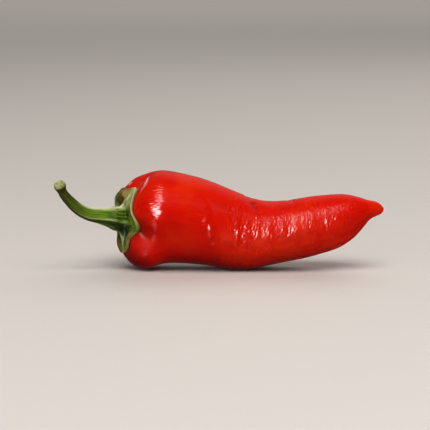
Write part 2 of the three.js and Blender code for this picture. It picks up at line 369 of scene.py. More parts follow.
class PepperStageSettings(bpy.types.PropertyGroup):
    """The floor and the lights."""

    floor_colour: colour_property("Floor", (0.56, 0.52, 0.48), "Colour of the floor")
    room_light: FloatProperty(
        name="Room light", default=0.06, min=0,
        description="Strength of the even light from all round",
    )
    sky_light: FloatProperty(
        name="Sky light", default=0.08, min=0,
        description="Strength of the soft light straight above, which fades to the sides",
    )
    back_light: FloatProperty(
        name="Back light", default=0.26, min=0,
        description="Strength of the soft glow behind and above the pod",
    )
    soft_power: power_property(
        "Soft light", 7.8, "Power of the wide light above the camera, which makes no highlight",
    )
    fill_power: power_property(
        "Fill light", 2.0, "Power of the wide light behind the pod, which makes no highlight",
    )
    low_power: power_property(
        "Low light", 1.0, "Power of the dim light below, for the sheen that a surface throws up",
    )
    rim_power: power_property(
        "Rim light", 0.13, "Power of the small light behind the stem end, for thin highlights",
    )
    window_power: power_property(
        "Window light", 28.0, "Power of the light to the left that makes the bright highlights",
    )
    upper_power: power_property(
        "Upper light", 5.2, "Power of the dimmer light above the window light, for highlights",
    )
    far_power: power_property(
        "Far light", 16.0, "Power of the light above the far floor, for a pale background",
    )


def begins(value, pair):
    """From 0 at the first of the pair to 1 at the second, smoothly."""
    share = np.clip((value - pair[0]) / (pair[1] - pair[0]), 0, 1)
    return share * share * (3 - 2 * share)


def fades(value, pair):
    """From 1 at the first of the pair to 0 at the second, smoothly."""
    return 1 - begins(value, pair)


def within(value, rises, falls):
    """From 0 to 1 over the first pair, and back to 0 over the second."""
    return begins(value, rises) * fades(value, falls)


def mix(a, b, share):
    """The value at a share of the way from a to b."""
    return a + (b - a) * share


def bell(value, middle, width):
    """1 at the middle, and smoothly down to almost 0 at twice the width from it."""
    return np.exp(-((value - middle) / width) ** 2)


def spline_at(rows, at, before, after):
    """The smooth curve through the rows, where row i lies at coordinate i."""
    padded = np.vstack([before, rows, after])
    i = np.clip(np.floor(at).astype(int), 0, len(rows) - 2)
    f = (at - i)[..., None]
    a, b, c, d = (padded[i + k] for k in range(4))
    return b + 0.5 * f * (c - a + f * (2 * a - 5 * b + 4 * c - d + f * (3 * (b - c) + d - a)))


def mirrored(row):
    """A pod ring seen from the far side of the axis, so that the pod's ends come out round."""
    return np.array([row[2], row[3], row[0], row[1], -row[4], row[5]])


def angle_from(angle, middle):
    """How far an angle is from the middle one, the short way round, in radians."""
    return np.arctan2(np.sin(angle - middle), np.cos(angle - middle))


def pod_rows(ring):
    """The six columns of the pod's outline at ring coordinates."""
    rows = spline_at(POD_RINGS, ring, mirrored(POD_RINGS[1]), mirrored(POD_RINGS[-2]))
    return np.moveaxis(rows, -1, 0)


def groove_angle(middle, turns, ring):
    """Where round the pod a groove's middle lies at a ring, in radians."""
    return np.radians(middle + turns * (ring - GROOVE_TURNS_FROM))


def pod_points(ring, angle, grooved=True):
    """The pod's skin in mm at ring coordinates and angles, which are arrays of one shape."""
    top_x, top_z, bottom_x, bottom_z, half_width, y = pod_rows(ring)
    depth = np.zeros_like(angle)
    if grooved:
        for middle, turns, deep, width, ends in GROOVES:
            away = angle_from(angle, groove_angle(middle, turns, ring))
            depth += deep * bell(away, 0, math.radians(width)) * fades(ring, ends)
    swell = sum(share * np.sin(count * angle + wind * ring) for share, count, wind in SWELLS)
    radius = 1 - depth * begins(ring, GROOVES_DEEPEN)
    radius = radius + swell * begins(ring, SWELLS_BEGIN)
    across = radius * np.cos(angle) * half_width
    up = radius * np.sin(angle) / 2
    turn = HEAD_TURN * fades(ring, TURN_FADES)
    points = np.stack([
        (top_x + bottom_x) / 2 + (top_x - bottom_x) * up + np.sin(turn) * across,
        y - np.cos(turn) * across,
        (top_z + bottom_z) / 2 + (top_z - bottom_z) * up,
    ], axis=-1)
    set_back = SET_BACK * depth * within(ring, SET_BACK_BEGINS, SET_BACK_FADES)
    points += HEAD_AXIS * set_back[..., None]
    points[..., 2] = np.maximum(points[..., 2], 0)
    return points


def unit(vectors):
    """The vectors at length 1."""
    return vectors / np.maximum(np.linalg.norm(vectors, axis=-1, keepdims=True), 1e-12)


def outwards(ring, angle):
    """The way out from the pod, which the grooves leave unchanged."""
    along = pod_points(ring + STEP, angle, False)
    along -= pod_points(np.maximum(ring - STEP, 0), angle, False)
    round_pod = pod_points(ring, angle + STEP, False) - pod_points(ring, angle - STEP, False)
    return unit(np.cross(along, round_pod))


def grid_normals(points):
    """Normals of a grid of points, whose rows are rings that close on themselves."""
    along = np.gradient(points, axis=0)
    round_grid = np.roll(points, -1, axis=1) - np.roll(points, 1, axis=1)
    return unit(np.cross(along, round_grid))


def noise_over(points, seed):
    """Smooth noise between about -1 and 1 at each point of a grid."""
    flat = points.reshape(-1, 3) + seed * SEED_STEP
    values = [noise.noise(Vector(point)) for point in flat]
    return np.array(values).reshape(points.shape[:-1]) * NOISE_SCALE


def grain_points(along, round_mm, angle):
    """Places for noise that follow a grown thing: along it, and on a circle round it."""
    return np.stack([along, round_mm * np.cos(angle), round_mm * np.sin(angle)], axis=-1)


def add_object(name, data):
    """An object of the scene that holds the data."""
    made = bpy.data.objects.new(name, data)
    bpy.context.scene.collection.objects.link(made)
    return made


def ring_mesh(name, first, grid, last, attributes):
    """A piece whose closed mesh runs over rings of points in mm, moved to the row frame.

    An attribute is a number or a vector. It comes as its values over the grid and its two values
    at the first and last points.
    """
    rings, sides = grid.shape[:2]
    points = np.vstack([grid.reshape(-1, 3), first, last]) * MM + frame_offset()
    i, j = np.meshgrid(np.arange(rings - 1), np.arange(sides), indexing="ij")
    a = (i * sides + j).ravel()
    b = (i * sides + (j + 1) % sides).ravel()
    quads = np.stack([a, a + sides, b + sides, b], axis=1)
    j = np.arange(sides)
    following = (j + 1) % sides
    start = np.stack([np.full(sides, rings * sides), j, following], axis=1)
    end_row = (rings - 1) * sides
    end = np.stack([end_row + following, end_row + j, np.full(sides, rings * sides + 1)], axis=1)
    mesh = bpy.data.meshes.new(name)
    mesh.from_pydata(points.tolist(), [], quads.tolist() + start.tolist() + end.tolist())
    for key, values in attributes.items():
        vector = values[0].ndim == 3
        width = 3 if vector else 1
        flat = np.vstack([np.reshape(v, (-1, width)) for v in values])
        layer = mesh.attributes.new(key, "FLOAT_VECTOR" if vector else "FLOAT", "POINT")
        field = "vector" if vector else "value"
        layer.data.foreach_set(field, flat.astype(np.float32).ravel())
    mesh.shade_smooth()
    mesh.validate()
    return add_object(name, mesh)


def frame_offset():
    """From the source's frame to the row frame, in metres: the two pods' boxes fit together.

    The pod is sampled here at the same places as the solid's points.
    """
    ring, angle = np.meshgrid(
        np.linspace(0, LAST_POD_RING, LAST_POD_RING * 3 + 1),
        np.linspace(0, 2 * math.pi, 56, endpoint=False), indexing="ij",
    )
    points = pod_points(ring, angle).reshape(-1, 3) * MM
    low, high = (np.array(corner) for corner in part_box("pod"))
    offset = (low + high) / 2 - (points.min(0) + points.max(0)) / 2
    offset[2] = low[2] - points[:, 2].min()
    return offset


def fold_depth(ring, angle, x):
    """How deep the soft folds press in the skin, in mm. They waver and come and go a little."""
    places = grain_points(x / FOLD_PATCH, FOLD_RADIUS / FOLD_PATCH, angle)
    x = x + FOLD_WAVER * noise_over(places, seed=21)
    presence = np.clip(0.85 + 0.6 * noise_over(places * 1.4, seed=22), 0.3, 1.25)
    total = np.zeros_like(ring)
    for ring_a, angle_a, ring_b, angle_b, depth, width in FOLDS:
        x_a, x_b = np.interp((ring_a, ring_b), np.arange(len(POD_RINGS)), POD_RINGS[:, 0])
        angle_a, angle_b = np.radians((angle_a, angle_b))
        run_x = x_b - x_a
        run_round = (angle_b - angle_a) * FOLD_RADIUS
        away_x = x - x_a
        away_round = angle_from(angle, angle_a) * FOLD_RADIUS
        share = (away_x * run_x + away_round * run_round) / (run_x ** 2 + run_round ** 2)
        nearest = np.clip(share, 0, 1)
        gap_x = away_x - nearest * run_x
        distance = np.hypot(gap_x, away_round - nearest * run_round)
        strength = np.sin(math.pi * np.clip(mix(0.04, 0.96, share), 0, 1)) ** 1.3
        shoulder = np.where(gap_x > 0, FOLD_SHOULDER, 0) * bell(distance, 1.7 * width, width)
        total += depth * strength * (bell(distance, 0, width) - shoulder)
    return total * presence


def spaced_rings():
    """The ring coordinates of the mesh's rings, which lie closest together where wrinkles are."""
    fine = np.linspace(0, LAST_POD_RING, 2000)
    ring, angle = np.meshgrid(fine, np.arange(12) * math.pi / 6, indexing="ij")
    points = pod_points(ring, angle, False)
    steps = np.linalg.norm(np.diff(points, axis=0), axis=-1).mean(axis=1)
    spacing = np.interp(fine[1:], RING_SPACING[:, 0], RING_SPACING[:, 1])
    passed = np.concatenate([[0], np.cumsum(steps / spacing)])
    return np.interp(np.arange(1, int(passed[-1])), passed, fine)


def pod_mesh(settings):
    """The pod with its creases, folds, wrinkles and ripples."""
    turn = np.arange(settings.sides) * (2 * math.pi / settings.sides)
    ring, angle = np.meshgrid(spaced_rings(), turn, indexing="ij")
    points = pod_points(ring, angle)
    normals = grid_normals(points)
    top_x, top_z, bottom_x, bottom_z, half_width, _ = pod_rows(ring)
    along = (top_x + bottom_x) / 2
    radius = (half_width + (top_z - bottom_z) / 2) / 2

    height = np.zeros_like(ring)
    # The creases' mask: it makes them rougher and carries their painted shade.
    crease = np.zeros_like(ring)
    for (middle, turns, *_), (depth, width, ends) in zip(GROOVES, CREASES):
        wander = CREASE_WANDER * np.sin(1.3 * ring + 5 * math.radians(middle))
        away = angle_from(angle, groove_angle(middle, turns, ring) + wander) * radius
        line = bell(away, 0, width) * within(ring, CREASES_BEGIN, ends)
        height -= depth * line
        crease = np.maximum(crease, line)

    folds = fold_depth(ring, angle, along)
    height -= folds
    crease = np.maximum(crease, np.clip(folds - FOLDS_SHADED_FROM, 0, 0.5) * 1.6)
    dents = noise_over(points / 9.0, seed=1)
    height += SOFT_DENTS * dents * within(ring, DENTS_BEGIN, DENTS_FADE)

    patches = np.clip(0.72 + 0.8 * noise_over(points / 4.0, seed=2), 0.2, 1.05)
    wrinkled = mix(WRINKLES_ELSEWHERE, 1, within(ring, WRINKLES_BEGIN, WRINKLES_FADE))
    wrinkled *= patches * begins(ring, (4, 6)) * settings.wrinkles
    away = angle_from(angle, WRINKLES_MIDDLE)
    wrinkled *= mix(WRINKLES_AROUND, 1, bell(away, 0, WRINKLES_REACH))
    wrinkled *= 1 + WAIST_WRINKLES * bell(ring, WAIST_RING, WAIST_WIDTH)
    for seed, (wave, crest, tall) in enumerate(WRINKLES, start=3):
        places = grain_points(along * NOISE_WAVE / wave, radius * NOISE_WAVE / crest, angle)
        height += tall * wrinkled * noise_over(places, seed)

    resting = points[..., 2] < 0.02
    points += normals * np.where(resting, 0, height)[..., None]
    points[..., 2] = np.maximum(points[..., 2], 0)

    rippled = within(ring, RIPPLES_BEGIN, RIPPLES_FADE)
    rippled *= 1 - 0.85 * bell(angle_from(angle, CALM_MIDDLE), 0, CALM_WIDTH)
    first, last = pod_points(np.array([0.0, LAST_POD_RING]), np.zeros(2))
    ends = np.array([[POD_RINGS[0, 0], 0, 0], [POD_RINGS[-1, 0], 0, 0]])
    return ring_mesh("pod_skin", first, points, last, {
        "grain": (grain_points(along, 10.0, angle), ends),
        "crease": (crease, np.zeros(2)),
        "tip": (begins(ring, TIP_BEGINS), np.array([0, 1])),
        # Painted shade on the side that faces down and towards the stem.
        "under": (begins(normals @ SHADED_UNDERSIDE, UNDERSIDE_BEGINS), np.zeros(2)),
        "rippled": (rippled, np.zeros(2)),
    })


def lobe(angle, sharpness):
    """From 0 between two lobes to 1 on a lobe's middle line. A higher sharpness is narrower."""
    return np.abs(np.cos(math.pi * lobes_on(angle))) ** sharpness


def lobes_on(angle):
    """How many lobes an angle is on from the first, which whole numbers are the middles of."""
    past = np.mod(angle - LOBE_ANGLES[0], 2 * math.pi)
    middles = np.append(LOBE_ANGLES - LOBE_ANGLES[0], 2 * math.pi)
    return np.interp(past, middles, np.arange(len(middles)))


def rim_ring(angle):
    """The ring coordinate of the calyx's rim."""
    ragged = 0.03 * np.sin(11 * angle + 0.6) + 0.02 * np.sin(23 * angle)
    shape = lobe(angle, LOBE_SHARPNESS)
    return mix(of_gap(angle, GAP_RING), of_lobe(angle, TIP_RING), shape) + ragged


def flare_ring(angle):
    """The ring coordinate where the stem's flare lies down on the calyx."""
    return mix(VALLEY_RING, RIB_RING, lobe(angle, RIB_RING_SHARPNESS))


def of_lobe(angle, column):
    """The value of the nearest lobe, from a column with one value for each."""
    return column[np.round(lobes_on(angle)).astype(int) % len(LOBES)]


def of_gap(angle, column):
    """The value of the gap at that angle, from a column with one value for each."""
    return column[np.floor(lobes_on(angle)).astype(int) % len(LOBES)]


def calyx_height(ring, angle):
    """The height of the calyx's outer face over the pod, in mm."""
    rim = rim_ring(angle)
    rib = of_lobe(angle, RIB_HEIGHT) * lobe(angle, of_lobe(angle, RIB_SHARPNESS))
    rib = rib * (1 - RIB_FALL * begins(ring / rim, (0.5, 1)))
    uneven = 1 + 0.35 * np.sin(7 * angle + 1.2) * np.sin(3 * angle)
    lip = LIP_HEIGHT * uneven * bell(ring, rim, LIP_WIDTH)
    knob = KNOB_HEIGHT * lobe(angle, 6) * bell(ring, rim - KNOB_INSIDE, KNOB_WIDTH)
    share = np.clip((ring - VALLEY_RING) / (rim - VALLEY_RING), 0, 1)
    valley_shape = bell(share, of_gap(angle, VALLEY_PLACE), VALLEY_WIDTH)
    bulge = of_gap(angle, GAP_BULGE) * bell(share, BULGE_PLACE, BULGE_WIDTH)
    thin_skin = (bulge - of_gap(angle, VALLEY_DEPTH) * valley_shape) * (1 - lobe(angle, 2))
    return CALYX_GAP + CALYX_THICKNESS + rib + lip + knob + thin_skin


def calyx_points(ring, angle):
    """The calyx's outer face: a thin cup on the pod, with ribs, and a lip along its rim."""
    return pod_points(ring, angle) + outwards(ring, angle) * calyx_height(ring, angle)[..., None]


def stem_row(s):
    """The stem's centre and radius at stem coordinate s."""
    return spline_at(STEM_RINGS, s, STEM_RINGS[0], STEM_RINGS[-1])


def stem_direction(s):
    """The stem's direction towards the calyx."""
    forward = stem_row(np.minimum(s + STEP, LAST_STEM_RING))[..., :3]
    return unit(forward - stem_row(np.maximum(s - STEP, 0))[..., :3])


def ridge_angle(s, angle):
    """The angle on the calyx that the stem's skin at that angle runs on to."""
    past = np.mod(angle - RIDGE_ANGLES[0], 2 * math.pi)
    ridges = np.append(RIDGE_ANGLES - RIDGE_ANGLES[0], 2 * math.pi)
    lobes = np.append(LOBE_ANGLES - LOBE_ANGLES[0], 2 * math.pi)
    reached = LOBE_ANGLES[0] + np.interp(past, ridges, lobes)
    return angle + angle_from(reached, angle) * fades(s, RIDGES_TURN)


def stem_points(s, angle, share=1.0):
    """The stem's skin, or points at a share of the way out to it."""
    row = stem_row(s)
    direction = stem_direction(s)
    front = np.array([0.0, -1.0, 0.0]) + direction * direction[..., 1:2]
    front = unit(front)
    up = np.cross(front, direction)
    low = STEM_RIDGE * begins(s, STEM_RIDGE_BEGINS)
    ridge = mix(low, FLARE_RIDGE, begins(s, FLARE_RIDGE_BEGINS))
    shape = lobe(ridge_angle(s, angle), LOBE_SHARPNESS)
    r = share * row[..., 3] * (1 + ridge * (2 * shape - 1))
    r = r[..., None]
    return row[..., :3] + front * r * np.cos(angle)[..., None] + up * r * np.sin(angle)[..., None]


def flare_points(f, angle):
    """The flare from the stem's last ring, at f = 0, out on to the calyx, at f = 1."""
    last = np.full_like(angle, LAST_STEM_RING)
    start = stem_points(last, angle)
    landing = flare_ring(angle)
    end = calyx_points(landing, angle)
    outward = unit(calyx_points(landing + STEP, angle) - end)
    reach = FLARE_REACH * np.linalg.norm(end - start, axis=-1, keepdims=True)
    second = start + stem_direction(last) * reach
    third = end - outward * reach
    f = f[..., None]
    g = 1 - f
    return g ** 3 * start + 3 * g * g * f * second + 3 * g * f * f * third + f ** 3 * end


def stem_masks(shares, turn):
    """Masks for the stem's colours, painted shade among them, over the parts of its skin and the
    shares along each.
    """
    masks = {key: [] for key in ("cut", "upper", "rib", "thin", "rim", "cream", "valley", "dull")}
    for part, share in shares:
        angle = np.broadcast_to(turn, share.shape)
        if part == "stem":
            angle = ridge_angle(share, angle)
        # The pale crest: partly the ribs' own colour, partly a painted highlight.
        crest = lobe(angle, of_lobe(angle, CREST_SHARPNESS))
        # How much painted shade the gap's valley gets.
        dark = of_gap(angle, VALLEY_SHADE)
        # How much painted shade the stem's lower sides get.
        dull = (1 - lobe(angle, 5)) * of_gap(angle, SIDE_SHADE)
        place = of_gap(angle, VALLEY_PLACE)
        if part == "cut":
            found = {"cut": fades(share, (0.9, 1.05))}
        elif part == "stem":
            found = {
                "cut": fades(share, (0.2, 1.3)),
                "upper": fades(share, (1.0, 7.5)),
                "rib": crest * of_lobe(angle, STEM_CREST) * begins(share, (3.5, 6.5)),
                "dull": dull,
            }
        elif part == "flare":
            outer = begins(share, (0.5, 1))
            found = {
                "rib": crest * of_lobe(angle, CALYX_CREST),
                "dull": dull * (1 - outer),
                "thin": outer * (1 - lobe(angle, 5)) * (1 - dark),
                "valley": outer * (1 - lobe(angle, 3)) * dark * (place < NEAR_THE_STEM),
            }
        elif part == "calyx":
            membrane = np.maximum(begins(share, (0.25, 0.6)), 1 - dark) * (1 - lobe(angle, 5))
            rim = begins(share, (0.9, 0.99))
            slot = np.where(place < NEAR_THE_STEM, fades(share, (0.15, 0.6)), bell(share, place, 0.17))
            found = {
                "rib": crest * of_lobe(angle, CALYX_CREST) * (1 - 0.3 * share),
                "thin": membrane * of_gap(angle, SKIN_OLIVE),
                "rim": rim,
                "cream": rim * mix(of_gap(angle, EDGE_CREAM), 0.15, lobe(angle, 4)),
                "valley": slot * (1 - lobe(angle, 3)) * dark,
            }
        else:
            found = {"rim": np.ones(share.shape), "cream": np.full(share.shape, 0.3)}
        for key, values in masks.items():
            values.append(found.get(key, np.zeros(share.shape)))
    return {key: np.vstack(values) for key, values in masks.items()}


def green_parts(turn):
    """The green skin's parts, from the middle of the cut face to the calyx's inside.

    Each part: its name, the shares along it, its points, and where they lie along the grain.
    """

    def grid(values):
        return np.meshgrid(values, turn, indexing="ij")

    share, angle = grid(CUT_SHARES)
    none = np.zeros_like(angle)
    tall, place, width = CUT_RING
    dish = CUT_DISH * fades(share, (0.5, 0.9)) - tall * bell(share, place, width)
    cut_face = stem_points(none, angle, share) + stem_direction(none) * dish[..., None]
    yield "cut", share, cut_face, none + CUT_ALONG

    share, angle = grid(np.linspace(0, LAST_STEM_RING, LAST_STEM_RING * 14 + 1))
    along = mix(CUT_ALONG, FLARE_ALONG, share / LAST_STEM_RING)
    yield "stem", share, stem_points(share, angle), along

    share, angle = grid(np.arange(1, 30) / 30)
    yield "flare", share, flare_points(share, angle), mix(FLARE_ALONG, CALYX_ALONG, share)

    share, angle = grid(np.linspace(0, 1, 44) ** 0.85)
    ring = mix(flare_ring(angle), rim_ring(angle), share)
    yield "calyx", share, calyx_points(ring, angle), mix(CALYX_ALONG, RIM_ALONG, share)

    share, angle = grid(np.linspace(1, 0.2, 16))
    ring = share * rim_ring(angle)
    inner_face = pod_points(ring, angle) + outwards(ring, angle) * CALYX_GAP
    yield "inside", share, inner_face, np.full_like(angle, RIM_ALONG)


def stem_mesh(settings):
    """The cut end, the stem, its flare and the calyx, as one skin."""
    sides = settings.sides_per_lobe * len(LOBES)
    turn = np.arange(sides) * (2 * math.pi / sides)
    parts, shares, grids, along = zip(*green_parts(turn))
    masks = stem_masks(zip(parts, shares), turn)
    points = np.vstack(grids)
    along = np.vstack(along)
    angle = np.broadcast_to(turn, along.shape)

    striped = noise_over(grain_points(along / 3.5, 7.0, angle), seed=11)
    lumps = noise_over(points / 1.1, seed=12)
    crinkles = noise_over(grain_points(along / 2.4, 7.5, angle), seed=13)
    dents = noise_over(points / 0.8, seed=14)
    flared = within(along, (-5, 0), (5, 9))
    knobbly = fades(along, (-23.5, -21.5))
    height = 0.05 * striped + 0.04 * lumps + 0.2 * knobbly * dents
    height += 0.2 * flared * crinkles * (1 - 0.8 * masks["rib"])
    height *= 1 - 0.7 * masks["rim"]
    inner_rings = len(shares[-1])
    height[-inner_rings:] = 0
    points += grid_normals(points) * height[..., None]
    # Painted shade in the hollows of the flare's crinkles and in the dents of the cut end.
    masks["crinkle"] = 1.3 * flared * np.clip(0.3 - crinkles, 0, 1)
    masks["crinkle"] += knobbly * np.clip(-1.5 * dents, 0, 1)

    start = np.zeros(1)
    middle = stem_row(start)[0, :3] + stem_direction(start)[0] * CUT_DISH
    inner_middle = pod_points(start, start)[0] - HEAD_AXIS * CALYX_GAP
    ends = np.array([[CUT_ALONG, 0, 0], [RIM_ALONG, 0, 0]])
    attributes = {"grain": (grain_points(along, 3.0, angle), ends)}
    for key, values in masks.items():
        attributes[key] = (values, np.array([values[0, 0], values[-1, 0]]))
    return ring_mesh("calyx_and_stem_skin", middle, points, inner_middle, attributes)


def add_node(tree, kind, inputs=None, **settings):
    """A node with its settings, and with its inputs set to a value or linked to a socket."""
    made = tree.nodes.new(kind)
    for name, value in settings.items():
        setattr(made, name, value)
    for name, value in (inputs or {}).items():
        if isinstance(value, bpy.types.NodeSocket):
            tree.links.new(value, made.inputs[name])
        else:
            made.inputs[name].default_value = value
    return made


def new_group(name, place, numbers, results):
    """A shader node group: the name of its vector input, its numbers' defaults and its results."""
    tree = bpy.data.node_groups.new(name, "ShaderNodeTree")
    tree.interface.new_socket(place, in_out="INPUT", socket_type="NodeSocketVector")
    for socket, default in numbers.items():
        made = tree.interface.new_socket(socket, in_out="INPUT", socket_type="NodeSocketFloat")
        made.default_value = default
    for socket in results:
        tree.interface.new_socket(socket, in_out="OUTPUT", socket_type="NodeSocketFloat")
    return tree, add_node(tree, "NodeGroupInput").outputs, add_node(tree, "NodeGroupOutput").inputs


def smooth_range(tree, value, low, high, to_low=0.0, to_high=1.0):
    """A value stretched from one range to another, with soft ends."""
    return add_node(tree, "ShaderNodeMapRange", {
        "Value": value, "From Min": low, "From Max": high, "To Min": to_low, "To Max": to_high,
    }, interpolation_type="SMOOTHSTEP").outputs["Result"]


def worked_out(tree, operation, a, b):
    """Two values, worked out together by a Math node."""
    return add_node(tree, "ShaderNodeMath", {0: a, 1: b}, operation=operation).outputs[0]


def scaled(tree, value, factor, added=0.0):
    """A value times a factor, plus a number or another value."""
    made = add_node(tree, "ShaderNodeMath", {0: value, 1: factor, 2: added}, operation="MULTIPLY_ADD")
    return made.outputs[0]


def cloudy_group():
    """Soft patches: a mask from noise, stretched between a low and a high value."""
    tree, given, result = new_group(
        "Cloudy patches", "Vector",
        {"Scale": 100.0, "Detail": 3.0, "Low": 0.4, "High": 0.7}, ["Mask"],
    )
    cloud = add_node(tree, "ShaderNodeTexNoise", {
        "Vector": given["Vector"], "Scale": given["Scale"], "Detail": given["Detail"],
        "Roughness": 0.55,
    }).outputs["Fac"]
    tree.links.new(smooth_range(tree, cloud, given["Low"], given["High"]), result["Mask"])
    return tree


def streak_group():
    """Fine streaks that run along a grown thing: a mask for colour and a height for bumps."""
    tree, given, result = new_group(
        "Grown streaks", "Grain",
        {"Length": 8.0, "Fineness": 2.0, "Detail": 2.0, "Low": 0.45, "High": 0.75},
        ["Mask", "Height"],
    )
    parts = add_node(tree, "ShaderNodeSeparateXYZ", {"Vector": given["Grain"]}).outputs
    place = add_node(tree, "ShaderNodeCombineXYZ", {
        "X": worked_out(tree, "DIVIDE", parts["X"], given["Length"]),
        "Y": worked_out(tree, "MULTIPLY", parts["Y"], given["Fineness"]),
        "Z": worked_out(tree, "MULTIPLY", parts["Z"], given["Fineness"]),
    }).outputs[0]
    lines = add_node(tree, "ShaderNodeTexNoise", {
        "Vector": place, "Scale": 1.0, "Detail": given["Detail"], "Roughness": 0.6,
    }).outputs["Fac"]
    tree.links.new(smooth_range(tree, lines, given["Low"], given["High"]), result["Mask"])
    tree.links.new(lines, result["Height"])
    return tree


def speck_group():
    """Small round specks or pits: 1 in the middle of each, 0 between them."""
    tree, given, result = new_group("Specks", "Vector", {"Scale": 400.0, "Size": 0.12}, ["Mask"])
    cells = add_node(tree, "ShaderNodeTexVoronoi", {
        "Vector": given["Vector"], "Scale": given["Scale"], "Randomness": 1.0,
    }).outputs["Distance"]
    tree.links.new(smooth_range(tree, cells, given["Size"], 0.0), result["Mask"])
    return tree


def place_group(tree, name, inputs):
    """A shared group in a material, with its inputs. It is built the first time that it is used."""
    makers = {
        "Cloudy patches": cloudy_group, "Grown streaks": streak_group, "Specks": speck_group,
    }
    group = bpy.data.node_groups.get(name) or makers[name]()
    return add_node(tree, "ShaderNodeGroup", inputs, node_tree=group)


def new_material(name, plain_values):
    """An empty node material, with its output and a Principled BSDF that is linked to it."""
    material = bpy.data.materials.new(name)
    material.use_nodes = True
    tree = material.node_tree
    tree.nodes.clear()
    shader = add_node(tree, "ShaderNodeBsdfPrincipled", plain_values)
    add_node(tree, "ShaderNodeOutputMaterial", {"Surface": shader.outputs["BSDF"]})
    return material, tree, shader


def layered(tree, colour, layers):
    """A plain colour with others laid over it. Each layer: its mask, its strength and its colour."""
    below = (*colour, 1)
    for mask, strength, over in layers:
        below = add_node(tree, "ShaderNodeMix", {
            0: scaled(tree, mask, strength), 6: below, 7: (*over, 1),
        }, data_type="RGBA").outputs[2]
    return below


def bumped(tree, shader, height, strength, distance):
    """Gives a shader bumps from a height, which is scaled by the distance in metres."""
    bump = add_node(tree, "ShaderNodeBump", {
        "Height": height, "Strength": strength, "Distance": distance,
    })
    tree.links.new(bump.outputs["Normal"], shader.inputs["Normal"])


def attribute(tree, name, output="Fac"):
    """A mesh attribute, as a number or a vector."""
    return add_node(tree, "ShaderNodeAttribute", attribute_name=name).outputs[output]


def skin_material(settings):
    """Waxy red skin: streaked and softly mottled, lighter at the tip, with painted shade in the
    creases and on the underside.
    """
    material, tree, shader = new_material("waxy_red_skin", {
        "IOR": 1.5, "Specular IOR Level": 0.2, "Subsurface Weight": 0.12,
        "Subsurface Radius": (1.0, 0.12, 0.06), "Subsurface Scale": 1.2 * MM,
    })
    place = add_node(tree, "ShaderNodeTexCoord").outputs["Object"]
    grain = attribute(tree, "grain", "Vector")
    crease = attribute(tree, "crease")
    rippled = attribute(tree, "rippled")

    patches = place_group(tree, "Cloudy patches", {
        "Vector": place, "Scale": 75.0, "Detail": 3.0, "Low": 0.42, "High": 0.72,
    }).outputs["Mask"]
    streaks = place_group(tree, "Grown streaks", {
        "Grain": grain, "Length": 14.0, "Fineness": 0.75, "Low": 0.48, "High": 0.8,
    }).outputs
    fine = place_group(tree, "Grown streaks", {
        "Grain": grain, "Length": 5.0, "Fineness": 2.4, "Low": 0.5, "High": 0.85,
    }).outputs
    ripples = place_group(tree, "Grown streaks", {
        "Grain": grain, "Length": 2.2, "Fineness": 3.2, "Detail": 0.0,
    }).outputs["Height"]
    pits = place_group(tree, "Specks", {
        "Vector": place, "Scale": 420.0, "Size": 0.13,
    }).outputs["Mask"]
    crinkle = add_node(tree, "ShaderNodeTexNoise", {
        "Vector": place, "Scale": 1500.0, "Detail": 2.0, "Roughness": 0.5,
    }).outputs["Fac"]

    colour = layered(tree, settings.red, [
        (patches, 0.6, settings.orange_red),
        (streaks["Mask"], 0.22, settings.deep_red),
        (fine["Mask"], 0.14, settings.deep_red),
        # Painted shade in the creases and the deep folds.
        (crease, 0.75, settings.deep_red),
        # Painted shade on the underside.
        (attribute(tree, "under"), 0.85, settings.underside_shade_red),
        (attribute(tree, "tip"), 0.7, settings.orange_red),
    ])
    tree.links.new(colour, shader.inputs["Base Color"])

    rough = scaled(tree, patches, 0.06, settings.roughness)
    rough = scaled(tree, rippled, -0.11, rough)
    rough = scaled(tree, crease, 0.2, rough)
    tree.links.new(rough, shader.inputs["Roughness"])

    height = worked_out(tree, "MULTIPLY", ripples, rippled)
    height = scaled(tree, crinkle, 0.07, height)
    height = scaled(tree, fine["Height"], 0.07, height)
    height = scaled(tree, pits, -0.15, height)
    bumped(tree, shader, height, 1.0, settings.ripple_height)
    return material


